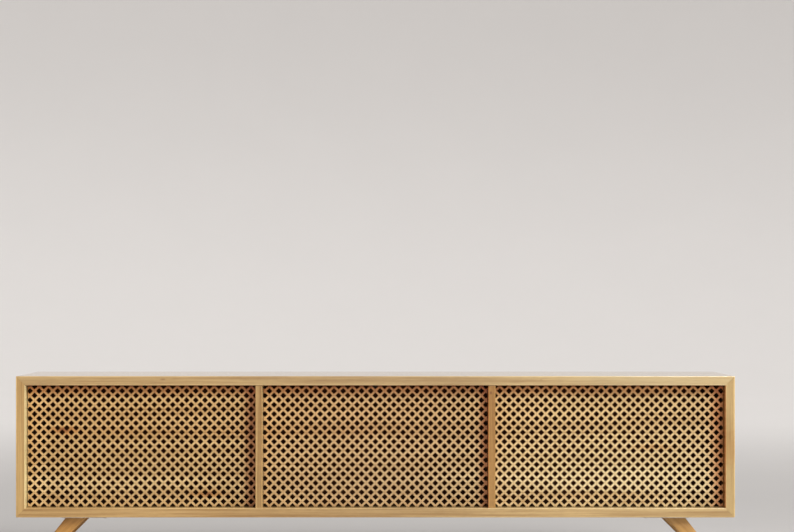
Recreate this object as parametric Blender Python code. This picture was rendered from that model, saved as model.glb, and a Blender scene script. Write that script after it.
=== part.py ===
"""Low oak sideboard with three drop-down lattice flaps, on four splayed legs.

+X runs along the length, to the viewer's right. -Y is the front and +Z is up.
The origin is on the floor, under the middle of the case. All sizes are in metres.
"""
from math import ceil, cos, floor, pi, radians, sin, sqrt, tan

import bmesh
import bpy
from mathutils import Matrix, Vector
from mathutils.geometry import delaunay_2d_cdt

# The case: four mitred boards, two dividers and an inset back.
CASE_WIDTH = 2.000
CASE_DEPTH = 0.400
CASE_HEIGHT = 0.393
LEG_HEIGHT = 0.150
BOARD = 0.026
DIVIDER = 0.019
DIVIDER_X = 0.3243
DIVIDER_SETBACK = 0.003
BACK_THICKNESS = 0.006
BACK_INSET = 0.010
CORNER_RADIUS = 0.0020
CORNER_STEPS = 2
ARRIS = 0.0012
ARRIS_STEPS = 2

# Pieces that touch are drawn this far apart. A cutter stands out of the face it enters.
TOUCH = 0.0003
CUTTER_PROUD = 0.0010

# The lattice: square holes turned on their corners. The pitch is corner to corner.
LATTICE_PITCH = 0.02577
HOLE_SIDE = 0.0107
FIRST_HOLE_ROW_Z = 0.5134
FLAP_RECESS = 0.036
FLAP_THICKNESS = 0.008
FLAP_GAP = 0.0018
FLAP_RIM = 0.0030
SMALLEST_SLOT = 2.5e-5
SHORTEST_EDGE = 0.0004

# Each flap turns on two short pins at its lower corners.
PIN_BEHIND_FACE = 0.0030
PIN_ABOVE_EDGE = 0.0035
PIN_RADIUS = 0.0015
PIN_LENGTH = 0.0055
PIN_HOLE_RADIUS = 0.0019
PIN_HOLE_DEPTH = 0.0070
PIVOT_PLATE = (0.0010, 0.0060, 0.0180)
PIVOT_PLATE_SHIFT = 0.0005

# A push latch under the top board meets a small plate at each flap's upper edge.
LATCH_BODY = (0.016, 0.044, 0.012)
LATCH_ARRIS = 0.0015
PLUNGER_RADIUS = 0.0035
PLUNGER_LENGTH = 0.005
STRIKER = (0.016, 0.0010, 0.0090)
STRIKER_BELOW_EDGE = 0.0008

# The legs lean outwards in the plane of the front and taper to the floor.
LEG_SPLAY = radians(42)
LEG_TOP_X = 0.834
LEG_TOP_WIDTH = 0.058
LEG_FOOT_WIDTH = 0.027
LEG_TOP_DEPTH = 0.036
LEG_FOOT_DEPTH = 0.026
LEG_ROW_Y = 0.150
LEG_ROUNDING = 0.003
LEG_ROUNDING_STEPS = 3
LEG_PLATE = (0.130, 0.056, 0.003)
LEG_PLATE_INWARD = 0.022
LEG_PLATE_CORNER = 0.006
GLIDE_RADIUS = 0.0105
GLIDE_HEIGHT = 0.004
GLIDE_CHAMFER = 0.001

ROUND_SIDES = 24
SMOOTH_BELOW = radians(35)

# Two lengths that differ by less than this are the same.
SAME = 1e-6

# Levels and planes that follow from the sizes above.
CASE_BOTTOM = LEG_HEIGHT
CASE_TOP = LEG_HEIGHT + CASE_HEIGHT
CASE_MIDDLE = (CASE_BOTTOM + CASE_TOP) / 2
BAY_FLOOR = CASE_BOTTOM + BOARD
BAY_CEILING = CASE_TOP - BOARD
BAY_END_X = CASE_WIDTH / 2 - BOARD
CASE_FRONT = -CASE_DEPTH / 2
BACK_FACE = CASE_DEPTH / 2 - BACK_INSET
BACK_FRONT = BACK_FACE - BACK_THICKNESS
FLAP_FRONT = CASE_FRONT + FLAP_RECESS
FLAP_BACK = FLAP_FRONT + FLAP_THICKNESS
FLAP_BOTTOM = BAY_FLOOR + FLAP_GAP
FLAP_TOP = BAY_CEILING - FLAP_GAP
AXIS_Y = FLAP_FRONT + PIN_BEHIND_FACE
AXIS_Z = FLAP_BOTTOM + PIN_ABOVE_EDGE
HOLE_SPACING = LATTICE_PITCH / sqrt(2)

# Each bay's name with the x of its two walls.
BAYS = {
    "left": (-BAY_END_X, -DIVIDER_X - DIVIDER / 2),
    "middle": (-DIVIDER_X + DIVIDER / 2, DIVIDER_X - DIVIDER / 2),
    "right": (DIVIDER_X + DIVIDER / 2, BAY_END_X),
}

# Colour as linear red, green, blue, then roughness and metallic value.
FINISHES = {
    "oak": ((0.57, 0.36, 0.16), 0.45, 0.0),
    "oak_lattice": ((0.60, 0.39, 0.19), 0.50, 0.0),
    "oak_leg": ((0.45, 0.24, 0.09), 0.45, 0.0),
    "dark_back": ((0.035, 0.018, 0.010), 0.70, 0.0),
    "steel": ((0.45, 0.45, 0.46), 0.35, 1.0),
    "black_plastic": ((0.02, 0.02, 0.02), 0.55, 0.0),
}


def clear_scene():
    for item in list(bpy.data.objects):
        bpy.data.objects.remove(item, do_unlink=True)


def make_material(name):
    """One finish as a Principled BSDF."""
    colour, roughness, metallic = FINISHES[name]
    material = bpy.data.materials.new(name)
    material.use_nodes = True
    shader = material.node_tree.nodes["Principled BSDF"]
    shader.inputs["Base Color"].default_value = (*colour, 1.0)
    shader.inputs["Roughness"].default_value = roughness
    shader.inputs["Metallic"].default_value = metallic
    material.diffuse_color = (*colour, 1.0)
    return material


def finish_object(name, bm, material, parent=None, place=None, smooth=False):
    """Turns a bmesh into a named object with its finish, under its parent."""
    bmesh.ops.recalc_face_normals(bm, faces=bm.faces[:])
    mesh = bpy.data.meshes.new(name)
    bm.to_mesh(mesh)
    bm.free()
    if smooth:
        mesh.shade_smooth()
        mesh.set_sharp_from_angle(angle=SMOOTH_BELOW)
    mesh.materials.append(material)
    piece = bpy.data.objects.new(name, mesh)
    bpy.context.scene.collection.objects.link(piece)
    piece.parent = parent
    if place is not None:
        piece.matrix_local = place
    return piece


def add_box(bm, low, high):
    """A closed box between two corners."""
    size = Vector(high) - Vector(low)
    middle = (Vector(high) + Vector(low)) / 2
    place = Matrix.Translation(middle) @ Matrix.Diagonal((*size, 1.0))
    return bmesh.ops.create_cube(bm, size=1.0, matrix=place)["verts"]


def add_cylinder(bm, start, end, radius):
    """A closed round bar between two points."""
    start = Vector(start)
    run = Vector(end) - start
    turn = run.to_track_quat("Z", "Y").to_matrix().to_4x4()
    place = Matrix.Translation(start + run / 2) @ turn
    return bmesh.ops.create_cone(
        bm, cap_ends=True, segments=ROUND_SIDES, radius1=radius, radius2=radius,
        depth=run.length, matrix=place)["verts"]


def round_edges(bm, wanted, radius, steps):
    """Rounds the edges that the test picks."""
    edges = [edge for edge in bm.edges if wanted(edge)]
    bmesh.ops.bevel(
        bm, geom=edges, offset=radius, offset_type="OFFSET", segments=steps,
        profile=0.5, affect="EDGES", clamp_overlap=True)


def runs_along(edge, axis):
    """True for an edge that is parallel to one of the three axes."""
    run = edge.verts[1].co - edge.verts[0].co
    return run.length - abs(run[axis]) < SAME


def mitred_outline(length):
    """End-on outline of a case board: outer face at z = 0, half a rounded corner at each tip."""
    half = length / 2
    mitre_gap = TOUCH / sqrt(2)
    tip = []
    for step in range(CORNER_STEPS + 1):
        angle = pi / 2 - pi / 4 * step / CORNER_STEPS
        x = half - CORNER_RADIUS + CORNER_RADIUS * cos(angle)
        z = -CORNER_RADIUS + CORNER_RADIUS * sin(angle)
        tip.append((x, z))
    tip[-1] = (tip[-1][0] - mitre_gap, tip[-1][1])
    right = tip + [(half - BOARD - mitre_gap, -BOARD)]
    left = [(-x, z) for x, z in reversed(right)]
    return left + right


def mitred_board(name, length, centre, turn, material, pin_side=None):
    """One board of the case, turned about Y so that its outer face looks outwards."""
    outline = mitred_outline(length)
    bm = bmesh.new()
    front = [bm.verts.new((x, CASE_FRONT, z)) for x, z in outline]
    face = bm.faces.new(front)
    pushed = bmesh.ops.extrude_face_region(bm, geom=[face])["geom"]
    moved = [item for item in pushed if isinstance(item, bmesh.types.BMVert)]
    bmesh.ops.translate(bm, verts=moved, vec=(0, CASE_DEPTH, 0))

    def on_rim(edge):
        run = edge.verts[1].co - edge.verts[0].co
        across_the_mitre = abs(abs(run.x) - abs(run.z)) < SAME
        return abs(run.y) < SAME and not across_the_mitre

    round_edges(bm, on_rim, ARRIS, ARRIS_STEPS)
    place = Matrix.Translation(centre) @ Matrix.Rotation(turn, 4, "Y")
    board = finish_object(name, bm, material, place=place)
    if pin_side is not None:
        wall = pin_side * BAY_END_X
        cut_pin_hole(board, wall, wall + pin_side * PIN_HOLE_DEPTH)
    return board


def cut_pin_hole(board, x_start, x_end):
    """Bores the hole that a flap's pin turns in."""
    clear = CUTTER_PROUD if x_end > x_start else -CUTTER_PROUD
    bm = bmesh.new()
    add_cylinder(bm, (x_start - clear, AXIS_Y, AXIS_Z), (x_end, AXIS_Y, AXIS_Z), PIN_HOLE_RADIUS)
    cutter = finish_object(board.name + "_pin_bore", bm, board.data.materials[0])
    cutter.hide_render = True
    cutter.display_type = "WIRE"
    cut = board.modifiers.new("pin hole", "BOOLEAN")
    cut.operation = "DIFFERENCE"
    cut.solver = "EXACT"
    cut.object = cutter


def build_case(materials):
    """The four mitred boards, the dividers and the back."""
    oak = materials["oak"]
    half = CASE_WIDTH / 2
    mitred_board("top_board", CASE_WIDTH, (0, 0, CASE_TOP), 0.0, oak)
    mitred_board("bottom_board", CASE_WIDTH, (0, 0, CASE_BOTTOM), pi, oak)
    mitred_board("left_side", CASE_HEIGHT, (-half, 0, CASE_MIDDLE), -pi / 2, oak, pin_side=-1)
    mitred_board("right_side", CASE_HEIGHT, (half, 0, CASE_MIDDLE), pi / 2, oak, pin_side=1)

    for name, x in (("left_divider", -DIVIDER_X), ("right_divider", DIVIDER_X)):
        build_divider(name, x, oak)

    bm = bmesh.new()
    edge_x = BAY_END_X - TOUCH
    add_box(bm, (-edge_x, BACK_FRONT, BAY_FLOOR + TOUCH), (edge_x, BACK_FACE, BAY_CEILING - TOUCH))
    finish_object("back_panel", bm, materials["dark_back"])


def build_divider(name, x, material):
    """An upright between two bays, with its front edges eased and one bore for both pins."""
    front = CASE_FRONT + DIVIDER_SETBACK
    bm = bmesh.new()
    add_box(
        bm,
        (x - DIVIDER / 2, front, BAY_FLOOR + TOUCH),
        (x + DIVIDER / 2, BACK_FRONT - TOUCH, BAY_CEILING - TOUCH))

    def front_upright(edge):
        return runs_along(edge, 2) and edge.verts[0].co.y < front + SAME

    round_edges(bm, front_upright, ARRIS, ARRIS_STEPS)
    divider = finish_object(name, bm, material)
    cut_pin_hole(divider, x - DIVIDER / 2, x + DIVIDER / 2 + CUTTER_PROUD)


def clip(points, axis, limit, side):
    """Keeps the part of a convex outline on one side of a level or upright line."""
    kept = []
    for here, there in zip(points, points[1:] + points[:1]):
        depth_here = side * (limit - here[axis])
        depth_there = side * (limit - there[axis])
        if depth_here >= 0:
            kept.append(here)
        if depth_here * depth_there < 0:
            kept.append(here.lerp(there, depth_here / (depth_here - depth_there)))
    return kept


def without_tiny_edges(points):
    """Drops each corner that nearly meets the one before it."""
    pairs = zip(points[-1:] + points[:-1], points)
    return [here for before, here in pairs if (here - before).length > SHORTEST_EDGE]


def outline_area(points):
    pairs = zip(points, points[1:] + points[:1])
    return abs(sum(a.x * b.y - b.x * a.y for a, b in pairs)) / 2


def slot_outlines(low, high, first_hole, slope):
    """The long slots between the slats of one layer, each cut off at the rim.

    A slot follows one diagonal row of holes. Slope is 1 for slats that rise to the right.
    """
    along = Vector((1, slope)) / sqrt(2)
    across = Vector((-along.y, along.x))
    corners = [Vector((x, z)) for x in (low.x, high.x) for z in (low.y, high.y)]
    reach = [(corner - first_hole).dot(across) / HOLE_SPACING for corner in corners]
    long_enough = along * (high - low).length
    slots = []
    for row in range(floor(min(reach)), ceil(max(reach)) + 1):
        middle = first_hole + across * (row * HOLE_SPACING)
        middle += along * ((low + high) / 2 - middle).dot(along)
        side = across * (HOLE_SIDE / 2)
        slot = [
            middle - long_enough - side, middle + long_enough - side,
            middle + long_enough + side, middle - long_enough + side]
        for axis in (0, 1):
            slot = clip(slot, axis, high[axis], 1) if slot else slot
            slot = clip(slot, axis, low[axis], -1) if slot else slot
        slot = without_tiny_edges(slot)
        if len(slot) > 2 and outline_area(slot) > SMALLEST_SLOT:
            slots.append(slot)
    return slots


def slat_layer(name, low, high, first_hole, slope, y_front, y_back, material, parent):
    """One layer of parallel slats and the thin rim that joins their ends, in one sheet."""
    rim = Vector((FLAP_RIM, FLAP_RIM))
    outside = [low, Vector((high.x, low.y)), high, Vector((low.x, high.y))]
    outlines = [outside] + slot_outlines(low + rim, high - rim, first_hole, slope)
    points = [point for outline in outlines for point in outline]
    rings = []
    for outline in outlines:
        start = len(rings[-1]) + rings[-1][0] if rings else 0
        rings.append(list(range(start, start + len(outline))))
    corners, _, triangles, _, _, owners = delaunay_2d_cdt(points, [], rings, 1, SAME)
    bm = bmesh.new()
    verts = [bm.verts.new((corner.x, y_front, corner.y)) for corner in corners]
    for triangle, owner in zip(triangles, owners):
        if owner == [0]:
            bm.faces.new([verts[index] for index in triangle])
    pushed = bmesh.ops.extrude_face_region(bm, geom=bm.faces[:])["geom"]
    moved = [item for item in pushed if isinstance(item, bmesh.types.BMVert)]
    bmesh.ops.translate(bm, verts=moved, vec=(0, y_back - y_front, 0))
    finish_object(name, bm, material, parent)


def build_pivot(name, edge_x, side, material, parent):
    """A steel plate on the flap's end, with the pin that turns in the case.

    Side is 1 on the flap's right end. All places are measured from the hinge axis.
    """
    thickness, depth, height = PIVOT_PLATE
    inner = edge_x + side * TOUCH
    outer = inner + side * thickness
    bottom = -PIN_ABOVE_EDGE
    bm = bmesh.new()
    add_box(
        bm,
        (min(inner, outer), PIVOT_PLATE_SHIFT - depth / 2, bottom),
        (max(inner, outer), PIVOT_PLATE_SHIFT + depth / 2, bottom + height))
    plate = finish_object(name, bm, material, parent)
    bm = bmesh.new()
    add_cylinder(bm, (inner + side * thickness / 2, 0, 0), (outer + side * PIN_LENGTH, 0, 0), PIN_RADIUS)
    pin = finish_object(name + "_pin", bm, material, parent)
    pin.hide_render = True
    pin.display_type = "WIRE"
    weld = plate.modifiers.new("pin", "BOOLEAN")
    weld.operation = "UNION"
    weld.solver = "EXACT"
    weld.object = pin


def build_flap(bay, materials):
    """One lattice flap: two crossed layers of slats, its pivots and its striker plate."""
    left_wall, right_wall = BAYS[bay]
    middle_x = (left_wall + right_wall) / 2
    hinge = bpy.data.objects.new(bay + "_flap_hinge", None)
    hinge.location = (middle_x, AXIS_Y, AXIS_Z)
    bpy.context.scene.collection.objects.link(hinge)

    low = Vector((left_wall + FLAP_GAP - middle_x, FLAP_BOTTOM - AXIS_Z))
    high = Vector((right_wall - FLAP_GAP - middle_x, FLAP_TOP - AXIS_Z))
    first_hole = Vector((-middle_x, FIRST_HOLE_ROW_Z - AXIS_Z))
    front = FLAP_FRONT - AXIS_Y
    back = FLAP_BACK - AXIS_Y
    halfway = (front + back) / 2
    lattice = materials["oak_lattice"]
    name = bay + "_flap"
    slat_layer(
        name + "_front_slats", low, high, first_hole, 1,
        front, halfway - TOUCH / 2, lattice, hinge)
    slat_layer(
        name + "_back_slats", low, high, first_hole, -1,
        halfway + TOUCH / 2, back, lattice, hinge)

    build_pivot(name + "_left_pivot", low.x, -1, materials["steel"], hinge)
    build_pivot(name + "_right_pivot", high.x, 1, materials["steel"], hinge)

    width, thickness, height = STRIKER
    top = high.y - STRIKER_BELOW_EDGE
    face = back + TOUCH
    bm = bmesh.new()
    add_box(bm, (-width / 2, face, top - height), (width / 2, face + thickness, top))
    finish_object(name + "_striker", bm, materials["steel"], hinge)


def build_latch(bay, material):
    """The push latch that the closed flap rests against."""
    left_wall, right_wall = BAYS[bay]
    middle_x = (left_wall + right_wall) / 2
    width, depth, height = LATCH_BODY
    top = BAY_CEILING - TOUCH
    tip = FLAP_BACK + TOUCH + STRIKER[1] + TOUCH
    front = tip + PLUNGER_LENGTH
    bm = bmesh.new()
    add_box(
        bm,
        (middle_x - width / 2, front, top - height),
        (middle_x + width / 2, front + depth, top))

    def below_the_board(edge):
        return min(vert.co.z for vert in edge.verts) < top - SAME

    round_edges(bm, below_the_board, LATCH_ARRIS, ARRIS_STEPS)
    body = finish_object(bay + "_latch", bm, material)
    plunger_z = top - height / 2
    bm = bmesh.new()
    add_cylinder(
        bm, (middle_x, front + PLUNGER_LENGTH, plunger_z), (middle_x, tip, plunger_z), PLUNGER_RADIUS)
    plunger = finish_object(bay + "_latch_plunger", bm, material)
    plunger.hide_render = True
    plunger.display_type = "WIRE"
    weld = body.modifiers.new("plunger", "BOOLEAN")
    weld.operation = "UNION"
    weld.solver = "EXACT"
    weld.object = plunger


def leg_section(z, side_x, side_y):
    """The leg's level section at one height, as four corners that run round it."""
    share = (CASE_BOTTOM - z) / CASE_BOTTOM
    x = side_x * (LEG_TOP_X + (CASE_BOTTOM - z) * tan(LEG_SPLAY))
    y = side_y * LEG_ROW_Y
    half_width = (LEG_TOP_WIDTH + (LEG_FOOT_WIDTH - LEG_TOP_WIDTH) * share) / 2
    half_depth = (LEG_TOP_DEPTH + (LEG_FOOT_DEPTH - LEG_TOP_DEPTH) * share) / 2
    signs = ((-1, -1), (1, -1), (1, 1), (-1, 1))
    return [Vector((x + sx * half_width, y + sy * half_depth, z)) for sx, sy in signs]


def build_leg(name, side_x, side_y, materials):
    """A tapered leg, the plate that fixes it under the case and the glide that it stands on."""
    plate_top = CASE_BOTTOM - TOUCH
    plate_bottom = plate_top - LEG_PLATE[2]
    top = leg_section(plate_bottom - TOUCH, side_x, side_y)
    foot = leg_section(GLIDE_HEIGHT + TOUCH, side_x, side_y)
    bm = bmesh.new()
    rings = [[bm.verts.new(point) for point in section] for section in (foot, top)]
    bm.faces.new(rings[0])
    bm.faces.new(rings[1])
    for here in range(4):
        there = (here + 1) % 4
        bm.faces.new((rings[0][here], rings[0][there], rings[1][there], rings[1][here]))

    def down_the_leg(edge):
        return abs(edge.verts[0].co.z - edge.verts[1].co.z) > GLIDE_HEIGHT

    round_edges(bm, down_the_leg, LEG_ROUNDING, LEG_ROUNDING_STEPS)
    finish_object(name, bm, materials["oak_leg"])

    length, width, _ = LEG_PLATE
    plate_x = side_x * (LEG_TOP_X - LEG_PLATE_INWARD)
    plate_y = side_y * LEG_ROW_Y
    bm = bmesh.new()
    add_box(
        bm,
        (plate_x - length / 2, plate_y - width / 2, plate_bottom),
        (plate_x + length / 2, plate_y + width / 2, plate_top))

    def plate_corner(edge):
        return runs_along(edge, 2)

    round_edges(bm, plate_corner, LEG_PLATE_CORNER, LEG_ROUNDING_STEPS)
    finish_object(name + "_plate", bm, materials["steel"])

    centre = sum(leg_section(0.0, side_x, side_y), Vector()) / 4
    top_of_glide = centre + Vector((0, 0, GLIDE_HEIGHT))
    bm = bmesh.new()
    add_cylinder(bm, centre, top_of_glide, GLIDE_RADIUS)

    def lower_rim(edge):
        return max(vert.co.z for vert in edge.verts) < SAME

    round_edges(bm, lower_rim, GLIDE_CHAMFER, 1)
    finish_object(name + "_glide", bm, materials["black_plastic"], smooth=True)


def main():
    clear_scene()
    materials = {name: make_material(name) for name in FINISHES}
    build_case(materials)
    for bay in BAYS:
        build_flap(bay, materials)
        build_latch(bay, materials["black_plastic"])
    for row, side_y in (("front", -1), ("rear", 1)):
        for side, side_x in (("left", -1), ("right", 1)):
            build_leg(f"{row}_{side}_leg", side_x, side_y, materials)


main()
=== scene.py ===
"""Dresses the lattice-front sideboard: its oak, its pierced flaps, its fittings and the studio round it.

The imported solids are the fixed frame. Places are in metres: +X runs along the length, to the viewer's
right, -Y is the front and +Z is up, with the origin on the floor under the middle of the case.
"""
from math import copysign, pi, radians, sqrt

import bmesh
import bpy
from bpy.props import FloatProperty, FloatVectorProperty, IntProperty, PointerProperty
from mathutils import Matrix, Vector


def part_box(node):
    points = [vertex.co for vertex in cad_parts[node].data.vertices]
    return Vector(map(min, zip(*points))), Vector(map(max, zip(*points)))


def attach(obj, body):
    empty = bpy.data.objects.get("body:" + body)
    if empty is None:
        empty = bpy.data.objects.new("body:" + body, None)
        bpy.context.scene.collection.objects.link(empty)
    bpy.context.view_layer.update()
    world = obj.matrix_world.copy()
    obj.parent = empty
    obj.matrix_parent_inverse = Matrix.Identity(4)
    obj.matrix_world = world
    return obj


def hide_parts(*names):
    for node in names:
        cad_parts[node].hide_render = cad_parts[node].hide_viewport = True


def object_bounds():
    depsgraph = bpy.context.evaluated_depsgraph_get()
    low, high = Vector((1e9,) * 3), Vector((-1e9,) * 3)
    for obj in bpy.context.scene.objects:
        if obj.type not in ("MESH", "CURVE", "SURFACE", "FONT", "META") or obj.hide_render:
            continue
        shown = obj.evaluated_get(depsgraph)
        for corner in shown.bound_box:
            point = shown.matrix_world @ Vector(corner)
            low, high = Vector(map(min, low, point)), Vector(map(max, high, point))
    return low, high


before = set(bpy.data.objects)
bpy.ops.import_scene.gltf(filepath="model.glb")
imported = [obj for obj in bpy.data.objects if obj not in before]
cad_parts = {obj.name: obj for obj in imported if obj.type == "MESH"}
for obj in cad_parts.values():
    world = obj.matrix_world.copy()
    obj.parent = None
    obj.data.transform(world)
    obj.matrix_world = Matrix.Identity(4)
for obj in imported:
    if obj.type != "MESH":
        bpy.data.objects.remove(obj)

bl_info = {
    "name": "Lattice Sideboard",
    "version": (1, 0, 0),
    "blender": (4, 5, 0),
    "location": "3D View > Sidebar > Sideboard",
    "description": "Dresses the sideboard's frame with oak, pierced flaps, fittings and a studio",
    "category": "Object",
}

CAD_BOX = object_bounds()
BAYS = ("left", "middle", "right")
SIDES = ("left", "right")
ROWS = ("front", "rear")
LEGS = [f"{row}_{side}_leg" for row in ROWS for side in SIDES]

# Points closer than this are one point.
SAME_POINT = 1e-5
# Edges that turn by less than this are shaded smooth.
SMOOTH_BELOW = radians(40)


def middle_of(box):
    """The centre of a box that is given as its lowest and highest corners."""
    return (box[0] + box[1]) / 2


def box_round(*nodes):
    """Lowest and highest corners of several nodes together."""
    boxes = [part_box(node) for node in nodes]
    low = Vector([min(box[0][axis] for box in boxes) for axis in range(3)])
    high = Vector([max(box[1][axis] for box in boxes) for axis in range(3)])
    return low, high


def flap_box(bay):
    return box_round(bay + "_flap_front_slats", bay + "_flap_back_slats")


# The clear space of the case, behind the flaps and in front of the back.
INSIDE_LOW = Vector((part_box("left_side")[1].x, flap_box("middle")[1].y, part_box("bottom_board")[1].z))
INSIDE_HIGH = Vector((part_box("right_side")[0].x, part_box("back_panel")[0].y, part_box("top_board")[0].z))


def length(name, description, default):
    return FloatProperty(name=name, description=description, default=default, unit="LENGTH")


def number(name, description, default):
    return FloatProperty(name=name, description=description, default=default)


def colour_setting(name, description, default):
    return FloatVectorProperty(name=name, description=description, default=default, subtype="COLOR")


def place_setting(name, description, default):
    return FloatVectorProperty(
        name=name, description=description, default=default, subtype="TRANSLATION", unit="LENGTH")


class LatticeSizes(bpy.types.PropertyGroup):
    """The pierced oak sheet of each flap."""
    pitch: length("Pitch", "Corner to corner spacing of the holes", 0.02577)
    hole_side: length("Hole side", "Width of one square hole", 0.0121)
    first_row_drop: length(
        "First row", "How far the first row of holes lies below the flap's upper edge", 0.0018)
    foot: length("Foot", "How far the sheet reaches down past the frame's slats", 0.0008)
    chamfer: length("Chamfer", "Chamfer round each hole", 0.0004)
    # The reach of the painted highlight that makes each slat paler near its holes.
    painted_highlight_reach: length("Rubbed edge", "How far from a hole a slat is rubbed paler", 0.0036)


class OakLook(bpy.types.PropertyGroup):
    """Colours and grain of the oak."""
    light: colour_setting("Light wood", "Colour between the growth rings", (0.545, 0.365, 0.158))
    dark: colour_setting("Dark wood", "Colour of the growth rings", (0.295, 0.156, 0.046))
    pore: colour_setting("Pores", "Colour of the open pores", (0.215, 0.107, 0.033))
    leg_tint: colour_setting("Leg tint", "What the legs' oak is multiplied by", (1.14, 0.91, 0.58))
    # Painted shade: this dark tint darkens the oak inside the bays in place of the shade there, and stains
    # the back.
    stain_and_shade: colour_setting(
        "Stain", "What the oak inside the bays and on the back is multiplied by", (0.33, 0.205, 0.20))
    ring_spacing: length("Ring spacing", "Width of one year's growth", 0.0032)
    stave: length("Stave", "Width of the staves that a board is glued up from", 0.075)


class FittingSizes(bpy.types.PropertyGroup):
    """Screws of the leg plates, latches, strikers and the back."""
    head_radius: length("Head radius", "Radius of a leg screw's head", 0.0042)
    head_height: length("Head height", "How far a leg screw's head stands out", 0.0018)
    small_radius: length("Small head radius", "Radius of a small screw's head", 0.0026)
    small_height: length("Small head height", "How far a small screw's head stands out", 0.0009)
    plate_margin: length("Plate margin", "From a leg plate's edge to its screws", 0.009)
    back_rows: IntProperty(
        name="Back screws", description="Screws in each upright row on the back", default=4)


class StudioSetup(bpy.types.PropertyGroup):
    """Camera, lights and floor."""
    camera_place: place_setting("Camera place", "Where the camera stands", (0.0, -6.6, 0.7554))
    lens: number("Lens", "Focal length in millimetres", 104.33)
    shift_x: number("Shift X", "Sideways shift of the picture, as a share of its width", 0.0272)
    shift_y: number("Shift Y", "Upward shift of the picture, as a share of its width", 0.0426)
    floor_colour: colour_setting("Floor", "Colour of the pale studio floor", (0.64, 0.62, 0.605))
    key_place: place_setting("Key place", "Middle of the key light", (2.20, -3.30, 2.88))
    key_size: length("Key size", "Side of the square key light", 1.9)
    key_power: number("Key power", "Watts of the key light", 55.0)
    side_place: place_setting("Side place", "Middle of the far side light", (10.5, -2.2, 1.6))
    side_size: length("Side size", "Side of the square side light", 3.0)
    side_power: number("Side power", "Watts of the side light", 155.0)
    spread: FloatProperty(
        name="Spread", description="How wide the lights throw", default=radians(110), subtype="ANGLE")
    wall_glow: number("Wall glow", "Strength of the lit wall that rings the studio", 0.53)
    sky: number("Sky", "Strength of the soft light from above", 0.60)


GROUPS = {
    "sideboard_lattice": LatticeSizes,
    "sideboard_oak": OakLook,
    "sideboard_fittings": FittingSizes,
    "sideboard_studio": StudioSetup,
}


# Building trees of nodes

def new_tree(name, kind, inputs, outputs):
    """An empty node group with its sockets, named under their kinds, and the nodes that hold them."""
    tree = bpy.data.node_groups.new(name, kind)
    for in_out, sockets in (("INPUT", inputs), ("OUTPUT", outputs)):
        for socket_kind, socket_names in sockets.items():
            for socket_name in socket_names:
                tree.interface.new_socket(
                    socket_name, in_out=in_out, socket_type="NodeSocket" + socket_kind)
    entry = tree.nodes.new("NodeGroupInput").outputs
    exit_node = tree.nodes.new("NodeGroupOutput")
    return tree, entry, exit_node.inputs


def add_node(tree, kind, feeds=None, **settings):
    """A node with its settings. Each feed is another node's socket or a plain value."""
    node = tree.nodes.new(kind)
    for name, value in settings.items():
        setattr(node, name, value)
    for key, source in (feeds or {}).items():
        connect(tree, source, node.inputs[key])
    return node


def shape(tree, kind, feeds=None, **settings):
    """What a geometry node gives first."""
    return add_node(tree, "GeometryNode" + kind, feeds, **settings).outputs[0]


def connect(tree, source, socket):
    if isinstance(source, bpy.types.NodeSocket):
        tree.links.new(source, socket)
    else:
        socket.default_value = source


def calc(tree, operation, *values, clamp=False):
    """The result of one sum on numbers."""
    node = add_node(tree, "ShaderNodeMath", dict(enumerate(values)), operation=operation, use_clamp=clamp)
    return node.outputs[0]


def over_all(tree, operation, value, *others):
    """One operation taken over many numbers in turn."""
    for other in others:
        value = calc(tree, operation, value, other)
    return value


def vector_calc(tree, operation, *values):
    """The result of one sum on vectors."""
    node = add_node(tree, "ShaderNodeVectorMath", dict(enumerate(values)), operation=operation)
    gives_number = operation in ("LENGTH", "DISTANCE", "DOT_PRODUCT")
    return node.outputs["Value" if gives_number else "Vector"]


def split(tree, vector):
    return add_node(tree, "ShaderNodeSeparateXYZ", {0: vector}).outputs


def combine(tree, x, y, z):
    return add_node(tree, "ShaderNodeCombineXYZ", {0: x, 1: y, 2: z}).outputs[0]


def ramp(tree, value, low, high, start=0.0, end=1.0):
    """Maps a number smoothly from low..high to start..end."""
    node = add_node(
        tree, "ShaderNodeMapRange",
        {"Value": value, "From Min": low, "From Max": high, "To Min": start, "To Max": end},
        interpolation_type="SMOOTHSTEP")
    return node.outputs["Result"]


def noise(tree, vector, scale=1.0, detail=2.0, roughness=0.5):
    feeds = {"Vector": vector, "Scale": scale, "Detail": detail, "Roughness": roughness}
    return add_node(tree, "ShaderNodeTexNoise", feeds).outputs["Fac"]


def mix_colours(tree, share, first, second, mode="MIX"):
    """Two colours mixed by a share, or one multiplied by the other by that share."""
    node = add_node(tree, "ShaderNodeMix", data_type="RGBA", blend_type=mode, clamp_factor=True)
    for source, socket in ((share, node.inputs[0]), (first, node.inputs[6]), (second, node.inputs[7])):
        connect(tree, source, socket)
    return node.outputs[2]


def opaque(colour):
    return (*colour, 1.0)


def tinted(tree, colour, tint, share=1.0):
    """The colour multiplied by a tint, all over or by a share."""
    return mix_colours(tree, share, colour, opaque(tint), "MULTIPLY")


# Effects that several finishes share

# The oak's patterns: how often each repeats in a metre along the grain and across it.
SWAY = (1.1, 6.0)
WAVER = (5.0, 70.0)
STREAKS = (2.6, 150.0)
BANDS = (0.9, 26.0)
THREADS = (7.0, 520.0)
PORES = (24.0, 1400.0)
FLECKS = (70.0, 330.0)
# How far the pith sways and wavers along the stave, how far it may lie to its side, and its drift and its
# depth behind the face: the most that chance adds to each, and the least.
PITH_SWAY = 0.012
PITH_WAVER = 0.0015
PITH_ASIDE = 0.12
PITH_DRIFT = (0.020, 0.004)
PITH_DEPTH = (0.06, 0.045)
# A growth ring darkens over this share of its year, then fades by this power.
RING_START = 0.22
RING_FADE = 1.6
# How dark the oak is between rings, what a ray fleck adds to that and how strongly a pore shows.
LEAST_DARK = 0.26
FLECK_DARK = -0.12
PORE_SHARE = 0.55
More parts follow.
